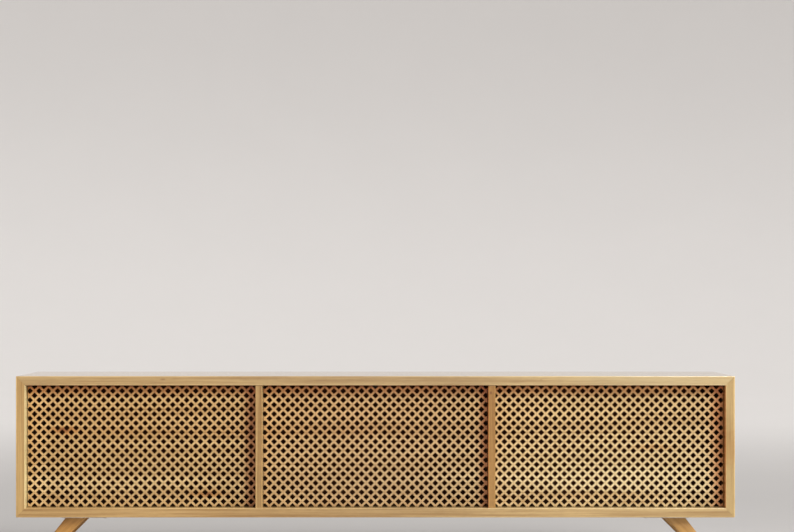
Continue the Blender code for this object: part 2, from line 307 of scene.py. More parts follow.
# How finely the edge of a patch is torn, in a metre along each axis, and how far.
TORN = (30.0, 30.0, 130.0)
RAGGED = 0.9


def make_grain_group():
    """Oak cut along the grain: staves, growth rings, streaks, ray flecks and pores. Grain runs along X."""
    tree, given, gives = new_tree(
        "Oak Grain", "ShaderNodeTree",
        {"Vector": ["Vector"], "Color": ["Light", "Dark", "Pore"],
         "Float": ["Ring Spacing", "Figure", "Streaks", "Stave Width", "Stave Tint", "Seed"]},
        {"Color": ["Color"], "Float": ["Height", "Roughness"]})
    place = split(tree, given["Vector"])
    stave = calc(tree, "FLOOR", calc(tree, "DIVIDE", place["Y"], given["Stave Width"]))
    draw = add_node(
        tree, "ShaderNodeTexWhiteNoise",
        {"W": calc(tree, "MULTIPLY_ADD", stave, 3.7, given["Seed"])}, noise_dimensions="1D")
    lot = split(tree, draw.outputs["Color"])
    stave_middle = calc(tree, "MULTIPLY", calc(tree, "ADD", stave, 0.5), given["Stave Width"])
    offset = add_node(
        tree, "ShaderNodeVectorMath", {0: draw.outputs["Color"], "Scale": 9.0}, operation="SCALE")
    own_place = vector_calc(tree, "ADD", given["Vector"], offset.outputs["Vector"])

    def stretched(pattern, detail=2.0):
        along, across = pattern
        return noise(tree, vector_calc(tree, "MULTIPLY", own_place, (along, across, across)), detail=detail)

    def swing(source, width):
        return calc(tree, "MULTIPLY", calc(tree, "SUBTRACT", source, 0.5), width)

    # The pith lies behind the face and drifts along the stave, which draws long arches on it.
    sway = calc(tree, "ADD", swing(stretched(SWAY), PITH_SWAY), swing(stretched(WAVER), PITH_WAVER))
    drift = calc(tree, "MULTIPLY", calc(tree, "MULTIPLY_ADD", lot["Z"], *PITH_DRIFT), place["X"])
    across = over_all(tree, "SUBTRACT", place["Y"], stave_middle, swing(lot["X"], PITH_ASIDE))
    deep = calc(tree, "ADD", calc(tree, "MULTIPLY_ADD", lot["Y"], *PITH_DEPTH), place["Z"])
    radius = vector_calc(tree, "LENGTH", combine(tree, 0.0, across, deep))
    grown = over_all(tree, "ADD", radius, sway, drift)
    year = calc(tree, "FRACT", calc(tree, "DIVIDE", grown, given["Ring Spacing"]))
    late = calc(tree, "POWER", calc(tree, "SUBTRACT", 1.0, year), RING_FADE)
    ring = calc(tree, "MULTIPLY", ramp(tree, year, 0.0, RING_START), late)

    # Pores crowd in the dark of each ring.
    crowding = calc(tree, "MULTIPLY_ADD", ring, 0.9, 0.25)
    pore = calc(tree, "MULTIPLY", ramp(tree, stretched(PORES, 1.0), 0.55, 0.72), crowding)
    fleck = ramp(tree, stretched(FLECKS, 1.0), 0.60, 0.75)
    streak = stretched(STREAKS, 3.0)

    amount = calc(tree, "MULTIPLY_ADD", ring, given["Figure"], LEAST_DARK)
    for source, share in ((streak, 1.5), (stretched(BANDS), 1.7), (stretched(THREADS), 0.9)):
        amount = calc(tree, "MULTIPLY_ADD", swing(source, share), given["Streaks"], amount)
    amount = calc(tree, "MULTIPLY_ADD", swing(lot["X"], 1.0), given["Stave Tint"], amount)
    amount = calc(tree, "MULTIPLY_ADD", fleck, FLECK_DARK, amount, clamp=True)
    wood = mix_colours(tree, amount, given["Light"], given["Dark"])
    wood = mix_colours(tree, calc(tree, "MULTIPLY", pore, PORE_SHARE), wood, given["Pore"])
    sunk = calc(tree, "MULTIPLY", pore, -1.0)
    connect(tree, wood, gives["Color"])
    connect(tree, calc(tree, "MULTIPLY_ADD", ring, -0.2, sunk), gives["Height"])
    connect(tree, calc(tree, "MULTIPLY_ADD", streak, 0.16, 0.32), gives["Roughness"])
    return tree


def make_patch_group():
    """A soft oval patch with a ragged edge, for a knot, a stain or a paler stretch."""
    tree, given, gives = new_tree(
        "Soft Patch", "ShaderNodeTree",
        {"Vector": ["Vector", "Centre", "Half Size"], "Float": ["Ragged"]}, {"Float": ["Mask"]})
    away = vector_calc(
        tree, "DIVIDE", vector_calc(tree, "SUBTRACT", given["Vector"], given["Centre"]), given["Half Size"])
    torn = noise(tree, vector_calc(tree, "MULTIPLY", given["Vector"], TORN), detail=3.0)
    reach = calc(
        tree, "MULTIPLY_ADD", calc(tree, "SUBTRACT", torn, 0.5), given["Ragged"],
        vector_calc(tree, "LENGTH", away))
    connect(tree, ramp(tree, reach, 0.25, 1.0, 1.0, 0.0), gives["Mask"])
    return tree


def make_edge_group():
    """Picks out the eased edges of a straight board, whose box is given."""
    tree, given, gives = new_tree(
        "Eased Edge", "ShaderNodeTree",
        {"Vector": ["Vector", "Middle", "Half Size"], "Float": ["Width"]}, {"Float": ["Mask"]})
    offset = vector_calc(tree, "SUBTRACT", given["Vector"], given["Middle"])
    depth = split(tree, vector_calc(
        tree, "SUBTRACT", given["Half Size"], vector_calc(tree, "ABSOLUTE", offset)))
    nearest, farthest, total = (
        over_all(tree, operation, *depth) for operation in ("MINIMUM", "MAXIMUM", "ADD"))
    second = over_all(tree, "SUBTRACT", total, nearest, farthest)
    # A noise wobble on the width of the painted edge highlight.
    wobble = noise(tree, given["Vector"], scale=45.0, detail=3.0)
    wide = calc(tree, "MULTIPLY", given["Width"], calc(tree, "ADD", wobble, 0.5))
    share = calc(tree, "DIVIDE", second, wide)
    connect(tree, ramp(tree, share, 0.4, 1.0, 1.0, 0.0), gives["Mask"])
    return tree


def make_box_group():
    """Picks out what lies within a box."""
    tree, given, gives = new_tree(
        "Within Box", "ShaderNodeTree", {"Vector": ["Vector", "Low", "High"]}, {"Float": ["Mask"]})
    above = split(tree, vector_calc(tree, "SUBTRACT", given["Vector"], given["Low"]))
    below = split(tree, vector_calc(tree, "SUBTRACT", given["High"], given["Vector"]))
    least = over_all(tree, "MINIMUM", *above, *below)
    connect(tree, calc(tree, "GREATER_THAN", least, 0.0), gives["Mask"])
    return tree


def make_slat_group():
    """Picks out the slats between the holes of a sheet that faces the front, but not their crossings."""
    tree, given, gives = new_tree(
        "Slat Edge", "ShaderNodeTree",
        {"Vector": ["Vector"], "Float": ["Pitch", "First Row", "Hole Side", "Width"]},
        {"Float": ["Mask"]})
    at = split(tree, given["Vector"])
    drop = calc(tree, "SUBTRACT", at["Z"], given["First Row"])
    spacing = calc(tree, "MULTIPLY", given["Pitch"], sqrt(0.5))
    beyond = []
    for sign in ("ADD", "SUBTRACT"):
        steps = calc(tree, "DIVIDE", calc(tree, sign, at["X"], drop), given["Pitch"])
        off = calc(tree, "ABSOLUTE", calc(tree, "SUBTRACT", steps, calc(tree, "ROUND", steps)))
        reach = calc(tree, "MULTIPLY_ADD", given["Hole Side"], -0.5, calc(tree, "MULTIPLY", off, spacing))
        beyond.append(calc(tree, "MAXIMUM", reach, 0.0))
    share = calc(tree, "DIVIDE", vector_calc(tree, "LENGTH", combine(tree, *beyond, 0.0)), given["Width"])
    # A noise wobble on the edge of the painted highlight's mask.
    wobble = calc(tree, "SUBTRACT", noise(tree, given["Vector"], scale=160.0), 0.5)
    share = calc(tree, "MULTIPLY_ADD", wobble, 0.3, share)
    connect(tree, ramp(tree, share, 0.78, 1.0, 1.0, 0.0), gives["Mask"])
    return tree


def make_scuff_group():
    """Fine rubbing and dust on small fittings, as a mask and a roughness."""
    tree, given, gives = new_tree(
        "Fine Scuffs", "ShaderNodeTree",
        {"Vector": ["Vector", "Stretch"], "Float": ["Base Roughness", "Spread"]},
        {"Float": ["Mask", "Roughness"]})
    highlighted = noise(
        tree, vector_calc(tree, "MULTIPLY", given["Vector"], given["Stretch"]), detail=4.0, roughness=0.6)
    cloudy = noise(tree, given["Vector"], scale=60.0, detail=3.0)
    mask = calc(tree, "MULTIPLY_ADD", cloudy, 0.5, calc(tree, "MULTIPLY", highlighted, 0.5))
    connect(tree, mask, gives["Mask"])
    swing = calc(tree, "SUBTRACT", mask, 0.5)
    roughness = calc(tree, "MULTIPLY_ADD", swing, given["Spread"], given["Base Roughness"], clamp=True)
    connect(tree, roughness, gives["Roughness"])
    return tree


GROUP_MAKERS = {
    "Oak Grain": make_grain_group,
    "Soft Patch": make_patch_group,
    "Eased Edge": make_edge_group,
    "Within Box": make_box_group,
    "Slat Edge": make_slat_group,
    "Fine Scuffs": make_scuff_group,
}


def place_group(tree, name, feeds):
    """Puts a shared effect in a finish, and makes it the first time."""
    group = bpy.data.node_groups.get(name) or GROUP_MAKERS[name]()
    node = add_node(tree, "ShaderNodeGroup", node_tree=group)
    for key, source in feeds.items():
        connect(tree, source, node.inputs[key])
    return node.outputs


# Finishes

def new_finish(name, metallic=0.0, coat=0.0, coat_roughness=0.2):
    """A material with its shader, its object position and the values that are the same all over."""
    finish = bpy.data.materials.new(name)
    finish.use_nodes = True
    tree = finish.node_tree
    shader = tree.nodes["Principled BSDF"].inputs
    shader["Metallic"].default_value = metallic
    shader["Coat Weight"].default_value = coat
    shader["Coat Roughness"].default_value = coat_roughness
    where = add_node(tree, "ShaderNodeTexCoord").outputs["Object"]
    return finish, tree, shader, where


def surface(tree, shader, colour, roughness, relief, strength, distance):
    """Feeds a shader its colour, its roughness and its fine relief."""
    connect(tree, colour, shader["Base Color"])
    connect(tree, roughness, shader["Roughness"])
    feeds = {"Height": relief, "Strength": strength, "Distance": distance}
    connect(tree, add_node(tree, "ShaderNodeBump", feeds).outputs["Normal"], shader["Normal"])


def within_box(tree, where, low, high):
    return place_group(tree, "Within Box", {"Vector": where, "Low": low, "High": high})["Mask"]


def turned(tree, where, rotation):
    """The object position turned so that the grain runs along X."""
    return add_node(tree, "ShaderNodeMapping", {"Vector": where, "Rotation": rotation}).outputs["Vector"]


def grain(tree, look, vector, seed, figure=0.40, streaks=0.55, stave=None, stave_tint=0.30):
    return place_group(tree, "Oak Grain", {
        "Vector": vector, "Light": opaque(look.light), "Dark": opaque(look.dark),
        "Pore": opaque(look.pore), "Ring Spacing": look.ring_spacing, "Figure": figure,
        "Streaks": streaks, "Stave Width": stave or look.stave, "Stave Tint": stave_tint, "Seed": seed})


# How the object position is turned for grain that runs level on a lying board, up an upright one and
# level on a sheet that faces the front. A sheet and a leg are of one stave, wider than they are.
LEVEL = (0.0, 0.0, 0.0)
UPRIGHT = (0.0, pi / 2, 0.0)
FACING = (pi / 2, 0.0, 0.0)
SHEET_STAVE = 0.5
BACK_STAVE = 0.6

# Each board of the case: how its grain is turned, how polished it is and how its oak is tinted.
BOARDS = (
    ("top_board", LEVEL, 1.0, (0.98, 0.97, 0.92)),
    ("bottom_board", LEVEL, 0.3, (1.02, 0.98, 0.92)),
    ("left_side", UPRIGHT, 0.3, (1.12, 1.09, 1.00)),
    ("right_side", UPRIGHT, 0.3, (0.93, 0.89, 0.78)),
    ("left_divider", UPRIGHT, 0.3, (0.97, 0.91, 0.80)),
    ("right_divider", UPRIGHT, 0.3, (0.99, 0.80, 0.50)),
)
# Painted light: how all the oak is tinted at its left and its right end, warmer on the left and cooler on
# the right, as the light's colour changes across the case.
LEFT_TINT = (1.03, 1.00, 0.93)
RIGHT_TINT = (0.95, 1.02, 1.10)
# How the flaps' oak is tinted low down and high up, and between which heights one fades to the other.
LOWER_TINT = (0.81, 0.67, 0.50)
UPPER_TINT = (0.75, 0.555, 0.36)
TONE_HEIGHTS = (0.22, 0.44)
# How it is tinted by the painted highlight along its slats and by the painted shade on the walls of its
# holes, and how far in the walls' tint starts and is full.
PAINTED_HIGHLIGHT_TINT = (1.80, 2.36, 3.60)
WALL_SHADE_TINT = (0.66, 0.50, 0.38)
WALL_DEPTHS = (0.0004, 0.0012)
# Painted shade on the flaps, where the top board's overhang shades them: from where to where below the
# upper edge, and the tint.
PAINTED_SHADE_BANDS = (
    (0.036, 0.006, (1.08, 0.73, 0.46)),
    (0.0065, 0.0015, (0.60, 0.44, 0.30)),
)
# Painted shade at each bay's right-hand end, where the board to its right shades it: how far it reaches and
# how strong it is.
PAINTED_SHADE_ENDS = ((0.042, 0.90), (0.032, 0.90), (0.050, 1.00))
PAINTED_SHADE_END_TINT = (0.84, 0.51, 0.35)
# Between these depths the painted shade fades to a share of its strength.
PAINTED_SHADE_DEPTHS = (0.001, 0.004)
PAINTED_SHADE_WITHIN = 0.10
# The painted highlight on the boards' eased edges, a paler tint of the wood: its tint, its width and its
# strength.
EDGE_HIGHLIGHT_TINT = (1.36, 1.44, 1.55)
EDGE_HIGHLIGHT_WIDTH = 0.0032
EDGE_HIGHLIGHT_SHARE = 0.9
# Strips of painted light and shade along the front of the boards, paler where a face or arris catches the
# light and darker or redder where it lies in shade: the board, the face that the strip starts from, how
# deep it goes into the board and its tint. They end at the flaps.
LIGHT_AND_SHADE_STRIPS = (
    ("top_board", "z", "low", 0.0011, (0.42, 0.30, 0.22)),
    ("bottom_board", "z", "high", 0.0012, (1.12, 1.22, 1.34)),
    ("left_side", "x", "high", 0.0018, (1.25, 1.62, 2.15)),
    ("right_side", "x", "high", 0.0045, (1.30, 1.34, 1.36)),
    ("right_side", "x", "low", 0.0012, (1.10, 0.68, 0.48)),
    ("left_divider", "x", "high", 0.0008, (1.45, 1.65, 1.95)),
    ("left_divider", "x", "low", 0.0008, (0.95, 0.70, 0.50)),
    ("right_divider", "x", "high", 0.0008, (1.60, 1.90, 2.40)),
    ("right_divider", "x", "low", 0.0008, (1.80, 1.25, 1.15)),
)
# How far a strip's mask stands clear of the board, so that the board's own faces lie within it.
STRIP_SKIN = 0.0008
# The oak inside the bays is darkened with painted shade, which starts this far behind a closed flap and
# reaches this far into the boards. The back, stained dark with the same tint, is duller than the lacquer.
PAINTED_SHADE_BEHIND_FLAP = 0.024
PAINTED_SHADE_REACH = 0.0006
BACK_SPECULAR = 0.2
# Tints of the marks on the oak, then each mark: its middle and half size as seen from the front, its tint
# and its strength. The knots and warm streaks are the wood's own; the broad dull, pale and cool patches are
# mostly painted light and shade.
KNOT_TINT = (0.42, 0.24, 0.12)
WARM_TINT = (0.86, 0.62, 0.36)
PALE_TINT = (1.16, 1.20, 1.30)
DULL_TINT = (0.84, 0.82, 0.82)
COOL_TINT = (0.97, 1.01, 1.10)
DULL_LATTICE_TINT = (0.80, 0.72, 0.72)
CASE_MARKS_AND_PAINTED_LIGHT = (
    ((0.000, 0.350), (0.620, 1.500), DULL_TINT, 0.85),
    ((0.986, 0.345), (0.040, 0.085), WARM_TINT, 0.45),
    ((0.986, 0.480), (0.060, 0.075), PALE_TINT, 0.45),
    # Painted light: a cool patch on the right of the top board, where cooler light falls.
    ((0.760, 0.530), (0.300, 0.040), COOL_TINT, 1.00),
    ((-0.650, 0.165), (0.320, 0.040), PALE_TINT, 0.45),
    ((0.050, 0.165), (0.300, 0.040), DULL_TINT, 0.25),
    ((-0.591, 0.534), (0.011, 0.0035), KNOT_TINT, 0.55),
    ((-0.955, 0.430), (0.040, 0.100), PALE_TINT, 0.40),
    ((0.461, 0.533), (0.004, 0.002), KNOT_TINT, 0.45),
    ((0.321, 0.497), (0.005, 0.006), KNOT_TINT, 0.70),
)
LATTICE_MARKS_AND_PAINTED_LIGHT = (
    ((0.000, 0.350), (0.480, 1.500), DULL_LATTICE_TINT, 0.75),
    ((-0.868, 0.390), (0.062, 0.018), WARM_TINT, 0.85),
    ((-0.873, 0.391), (0.026, 0.009), KNOT_TINT, 0.85),
    ((-0.471, 0.213), (0.080, 0.014), WARM_TINT, 0.80),
    ((-0.471, 0.213), (0.020, 0.010), KNOT_TINT, 0.75),
    ((-0.450, 0.385), (0.850, 0.020), WARM_TINT, 0.22),
    ((0.161, 0.372), (0.030, 0.010), KNOT_TINT, 0.30),
    ((0.091, 0.291), (0.012, 0.007), KNOT_TINT, 0.35),
    ((0.514, 0.344), (0.022, 0.008), KNOT_TINT, 0.25),
    ((0.782, 0.344), (0.090, 0.012), WARM_TINT, 0.60),
    ((0.782, 0.344), (0.015, 0.008), KNOT_TINT, 0.45),
    ((0.614, 0.207), (0.260, 0.014), WARM_TINT, 0.35),
    ((-0.755, 0.425), (0.065, 0.009), PALE_TINT, 0.55),
    ((0.050, 0.348), (0.210, 0.008), PALE_TINT, 0.45),
    ((0.890, 0.313), (0.045, 0.040), PALE_TINT, 0.45),
    # Painted light and shade under the top board: duller on the left flap, paler on the other two.
    ((-0.650, 0.509), (0.380, 0.022), DULL_TINT, 0.55),
    ((0.000, 0.509), (0.380, 0.022), PALE_TINT, 0.90),
    ((0.650, 0.509), (0.380, 0.022), PALE_TINT, 0.35),
    # Painted light at the left flap's left end, and painted shade on the flaps beside the dividers.
    ((-0.935, 0.350), (0.030, 1.500), PALE_TINT, 0.55),
    ((-0.318, 0.350), (0.012, 1.500), DULL_TINT, 0.80),
    ((0.320, 0.350), (0.012, 1.500), DULL_TINT, 0.80),
)


def with_painted_light_gradient(tree, where, wood):
    """Painted light: the wood is warmer towards the left end and paler towards the right one, where the
    light is cooler.
    """
    share = ramp(tree, split(tree, where)["X"], CAD_BOX[0][0], CAD_BOX[1][0])
    return mix_colours(
        tree, 1.0, wood, mix_colours(tree, share, opaque(LEFT_TINT), opaque(RIGHT_TINT)), "MULTIPLY")


def marks_and_painted_light(tree, where, wood, marks):
    """Lays the knots and streaks over the wood, with the broad patches of painted light and shade."""
    for (x, z), (half_x, half_z), tint, strength in marks:
        mask = place_group(tree, "Soft Patch", {
            "Vector": where, "Centre": (x, 0.0, z), "Half Size": (half_x, 1.0, half_z),
            "Ragged": RAGGED})["Mask"]
        wood = tinted(tree, wood, tint, calc(tree, "MULTIPLY", mask, strength))
    return wood


def board_finish(look, node, rotation, seed, polish, tint):
    """Lacquered oak for one board of the case, with a painted highlight on its eased edges, strips of
    painted light and shade by the flaps and painted shade inside the bays.
    """
    low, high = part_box(node)
    finish, tree, shader, where = new_finish(
        "oak_" + node, coat=polish, coat_roughness=0.30 - 0.20 * polish)
    wood = grain(tree, look, turned(tree, where, rotation), seed, figure=0.38, streaks=1.15)
    colour = marks_and_painted_light(tree, where, tinted(tree, with_painted_light_gradient(tree, where, wood["Color"]), tint), CASE_MARKS_AND_PAINTED_LIGHT)
    # Painted highlight along the eased edges.
    edge = place_group(tree, "Eased Edge", {
        "Vector": where, "Middle": (low + high) / 2, "Half Size": (high - low) / 2,
        "Width": EDGE_HIGHLIGHT_WIDTH})["Mask"]
    colour = tinted(tree, colour, EDGE_HIGHLIGHT_TINT, calc(tree, "MULTIPLY", edge, EDGE_HIGHLIGHT_SHARE))
    # Strips of painted light and shade on the faces and arrises by the flaps.
    for mask, strip_tint in light_and_shade_strips(tree, where, node):
        colour = tinted(tree, colour, strip_tint, mask)
    # Painted shade: the oak inside the bays, behind the flaps, is darkened.
    behind, reach = Vector((0.0, PAINTED_SHADE_BEHIND_FLAP, 0.0)), Vector((PAINTED_SHADE_REACH, 0.0, PAINTED_SHADE_REACH))
    inside = within_box(tree, where, INSIDE_LOW + behind - reach, INSIDE_HIGH + reach)
    colour = mix_colours(tree, inside, colour, tinted(tree, wood["Color"], look.stain_and_shade))
    surface(tree, shader, colour, wood["Roughness"], wood["Height"], 0.35, 0.0004)
    return finish


def light_and_shade_strips(tree, where, node):
    """The masks and tints of a board's strips of painted light and shade."""
    strips = []
    for board, axis, face, depth, tint in LIGHT_AND_SHADE_STRIPS:
        if board != node:
            continue
        low, high = (corner.copy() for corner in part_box(node))
        if face == "high":
            setattr(low, axis, getattr(high, axis) - depth)
            setattr(high, axis, getattr(high, axis) + STRIP_SKIN)
        else:
            setattr(high, axis, getattr(low, axis) + depth)
            setattr(low, axis, getattr(low, axis) - STRIP_SKIN)
        high.y = INSIDE_LOW.y
        outer = Vector([STRIP_SKIN if name != axis else 0.0 for name in "xyz"])
        strips.append((within_box(tree, where, low - outer, high + outer), tint))
    return strips


def lattice_finish(look, sizes):
    """Lacquered oak sheet with its grain lying level, right across the three flaps."""
    finish, tree, shader, where = new_finish("oak_lattice_sheet", coat=0.20, coat_roughness=0.30)
    wood = grain(
        tree, look, turned(tree, where, FACING), seed=4.0, figure=0.34, streaks=0.85,
        stave=SHEET_STAVE, stave_tint=0.0)
    height = ramp(tree, split(tree, where)["Z"], *TONE_HEIGHTS)
    tone = mix_colours(tree, height, opaque(LOWER_TINT), opaque(UPPER_TINT))
    colour = mix_colours(tree, 1.0, with_painted_light_gradient(tree, where, wood["Color"]), tone, "MULTIPLY")
    colour = marks_and_painted_light(tree, where, colour, LATTICE_MARKS_AND_PAINTED_LIGHT)
    # Painted highlight along the slats near the holes; the hole walls take it too, then their own painted
    # shade.
    highlighted = place_group(tree, "Slat Edge", {
        "Vector": where, "Pitch": sizes.pitch, "Hole Side": sizes.hole_side, "Width": sizes.painted_highlight_reach,
        "First Row": flap_box("middle")[1].z - sizes.first_row_drop})["Mask"]
    walls = cut_walls(tree, where)
    highlighted = calc(tree, "MAXIMUM", highlighted, walls)
    for mask, tint in ((highlighted, PAINTED_HIGHLIGHT_TINT), (walls, WALL_SHADE_TINT), *painted_shade_margins(tree, where)):
        colour = tinted(tree, colour, tint, mask)
    surface(tree, shader, colour, wood["Roughness"], wood["Height"], 0.3, 0.0003)
    return finish


def cut_walls(tree, where):
    """Where the sheet is cut through, between its two faces: the hole walls that take the painted shade."""
    depth = split(tree, where)["Y"]
    front, rear = (corner.y for corner in flap_box("middle"))
    start, full = WALL_DEPTHS
    return calc(
        tree, "MULTIPLY", ramp(tree, depth, front + start, front + full),
        ramp(tree, depth, rear - full, rear - start, 1.0, 0.0))


def painted_shade_margins(tree, where):
    """Where shade is painted on the flaps, under the top board and at each bay's right-hand end, with its
    tints.
    """
    at = split(tree, where)
    front, upper = flap_box("middle")[0].y, flap_box("middle")[1].z
    near_front = ramp(tree, at["Y"], *(front + depth for depth in PAINTED_SHADE_DEPTHS), 1.0, PAINTED_SHADE_WITHIN)
    masks = [
        (ramp(tree, at["Z"], upper - start, upper - full), tint) for start, full, tint in PAINTED_SHADE_BANDS]
    ends = 0.0
    for bay, (reach, strength) in zip(BAYS, PAINTED_SHADE_ENDS):
        end = flap_box(bay)[1].x
        near = ramp(tree, at["X"], end - reach, end - reach / 6, 0.0, strength)
        near = calc(tree, "MULTIPLY", near, calc(tree, "LESS_THAN", at["X"], end + SAME_POINT))
        ends = calc(tree, "MAXIMUM", ends, near)
    masks.append((ends, PAINTED_SHADE_END_TINT))
    return [(calc(tree, "MULTIPLY", mask, near_front), tint) for mask, tint in masks]


def leg_finish(look, side):
    """Oiled oak with the grain running down the leaning leg."""
    lean = leg_direction("front_" + side + "_leg")
    turn = Vector((1, 0, 0)).rotation_difference(lean).inverted().to_euler()
    finish, tree, shader, where = new_finish("oak_" + side + "_legs", coat=0.10, coat_roughness=0.35)
    wood = grain(
        tree, look, turned(tree, where, turn), seed=7.0, figure=0.45, stave=SHEET_STAVE, stave_tint=0.0)
    colour = tinted(tree, with_painted_light_gradient(tree, where, wood["Color"]), look.leg_tint)
    surface(tree, shader, colour, wood["Roughness"], wood["Height"], 0.35, 0.0004)
    return finish


def stained_and_shaded_back_finish(look):
    """Dark stained thin board, whose grain still shows a little. Its dark inner face also stands in for the
    shade behind the flaps' holes.
    """
    finish, tree, shader, where = new_finish("stained_back")
    shader["Specular IOR Level"].default_value = BACK_SPECULAR
    wood = grain(tree, look, turned(tree, where, FACING), seed=11.0, stave=BACK_STAVE)
    surface(tree, shader, tinted(tree, wood["Color"], look.stain_and_shade), 0.6, wood["Height"], 0.4, 0.0003)
    return finish


# Each fitting's finish: how metallic it is, how its scuffs are stretched, its roughness and how far that
# varies, how deep the scuffs show, and its darkest and its lightest colour.
BRUSHED = (60.0, 1800.0, 1800.0)
EVEN = (900.0, 900.0, 900.0)
FITTING_FINISHES = {
    "plated_steel": (1.0, BRUSHED, 0.36, 0.5, 0.15, (0.40, 0.40, 0.41), (0.62, 0.62, 0.61)),
    "blackened_steel": (1.0, BRUSHED, 0.36, 0.5, 0.15, (0.014, 0.011, 0.009), (0.040, 0.032, 0.026)),
    "moulded_plastic": (0.0, EVEN, 0.52, 0.3, 0.3, (0.012, 0.012, 0.013), (0.035, 0.034, 0.033)),
}


def fitting_finish(name):
    """Steel brushed along X, plated or blackened, or matt moulded plastic with a fine grain."""
    metallic, stretch, roughness, spread, strength, dark, light = FITTING_FINISHES[name]
    finish, tree, shader, where = new_finish(name, metallic)
    scuffs = place_group(tree, "Fine Scuffs", {
        "Vector": where, "Stretch": stretch, "Base Roughness": roughness, "Spread": spread})
    colour = mix_colours(tree, scuffs["Mask"], opaque(dark), opaque(light))
    surface(tree, shader, colour, scuffs["Roughness"], scuffs["Mask"], strength, 0.0002)
    return finish


# The studio floor: the radii of its flat rings, the curve up to the wall, the wall's height and the steps
# and sides that it is built of. Its paint is mottled by a darker share of its colour. Its glow starts at
# the first and is full at the second of the distances, and the wall has a share of it.
BOWL_RINGS = (0.02, 3.0, 11.0)
BOWL_CURVE = 4.0
BOWL_WALL = 8.0
BOWL_STEPS = 16
BOWL_SIDES = 96
MOTTLE = 0.975
GLOW_REACH = (1.0, 8.5)
WALL_SHARE = 0.50
SKY_COLOUR = (1.0, 0.985, 0.97)


def floor_finish(colour, glow):
    """Pale matt paint with a faint mottle, lit from within away from the middle."""
    finish, tree, shader, where = new_finish("studio_floor")
    darker = tuple(MOTTLE * share for share in colour)
    paint = mix_colours(tree, noise(tree, where, scale=1.7, detail=3.0), opaque(darker), opaque(colour))
    away = vector_calc(tree, "LENGTH", vector_calc(tree, "MULTIPLY", where, (1.0, 1.0, 0.0)))
    lit = calc(
        tree, "MULTIPLY", ramp(tree, away, *GLOW_REACH),
        ramp(tree, split(tree, where)["Z"], 0.0, BOWL_CURVE, 1.0, WALL_SHARE))
    connect(tree, paint, shader["Base Color"])
    connect(tree, 0.85, shader["Roughness"])
    connect(tree, mix_colours(tree, lit, (0.0, 0.0, 0.0, 1.0), paint), shader["Emission Color"])
    connect(tree, glow, shader["Emission Strength"])
    return finish


def dress(node, finish):
    """Gives a node of the frame its finish."""
    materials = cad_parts[node].data.materials
    materials.clear()
    materials.append(finish)


# Turning trees and meshes into pieces

def new_piece(name, mesh, body, replaces=()):
    """A finished mesh as a piece that rides on its body."""
    piece = bpy.data.objects.new(name, mesh)
    bpy.context.scene.collection.objects.link(piece)
    claim(piece, body, replaces)
    return piece


def claim(piece, body, replaces=()):
    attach(piece, body)
    if replaces:
        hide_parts(*replaces)


def grow(name, tree, values, points=()):
    """Runs a tree of geometry nodes on some points, and gives the result as a plain mesh."""
    mesh = bpy.data.meshes.new(name)
    mesh.from_pydata([tuple(point) for point in points], [], [])
    piece = bpy.data.objects.new(name, mesh)
    bpy.context.scene.collection.objects.link(piece)
    modifier = piece.modifiers.new(tree.name, "NODES")
    modifier.node_group = tree
    for item in tree.interface.items_tree:
        if item.in_out == "INPUT" and item.name in values:
            modifier[item.identifier] = values[item.name]
    graph = bpy.context.evaluated_depsgraph_get()
    grown = bpy.data.meshes.new_from_object(
        piece.evaluated_get(graph), preserve_all_data_layers=True, depsgraph=graph)
    piece.modifiers.remove(modifier)
    # The tree's own shapes leave an empty slot beside the one that it sets.
    grown.materials.clear()
    grown.materials.append(values["Material"])
    shade_by_angle(grown)
    piece.data = grown
    return piece


def geometry_tree(name, inputs):
    geometry = {"Geometry": ["Geometry"]}
    return new_tree(name, "GeometryNodeTree", {**geometry, **inputs}, geometry)


def move(tree, geometry, place=(0.0, 0.0, 0.0), rotation=(0.0, 0.0, 0.0), scale=(1.0, 1.0, 1.0)):
    return shape(tree, "Transform", {
        "Geometry": geometry, "Translation": place, "Rotation": rotation, "Scale": scale})


def merge(tree, geometry):
    return shape(tree, "MergeByDistance", {"Geometry": geometry, "Distance": SAME_POINT})


def block(tree, size, middle):
    return move(tree, shape(tree, "MeshCube", {"Size": size}), middle)


def join(tree, *parts):
    node = tree.nodes.new("GeometryNodeJoinGeometry")
    for part in parts:
        tree.links.new(part, node.inputs[0])
    return node.outputs[0]


def solid(tree, operation, first, second):
    """What two closed meshes share, or the first one cut by the second."""
    node = add_node(tree, "GeometryNodeMeshBoolean", operation=operation, solver="EXACT")
    tree.links.new(first, node.inputs[0 if operation == "DIFFERENCE" else 1])
    tree.links.new(second, node.inputs[1])
    return node.outputs["Mesh"]


def finish_tree(tree, geometry, material, gives):
    """Ends a tree: instances made real, then the finish."""
    real = shape(tree, "RealizeInstances", {"Geometry": geometry})
    done = shape(tree, "SetMaterial", {"Geometry": real, "Material": material})
    connect(tree, done, gives["Geometry"])


# The holes stand on their corners. A hole is cut when its middle is at most this share of their spacing
# beyond the flap.
ON_CORNER = (0.0, 0.0, pi / 4)
CUT_BEYOND = 0.75


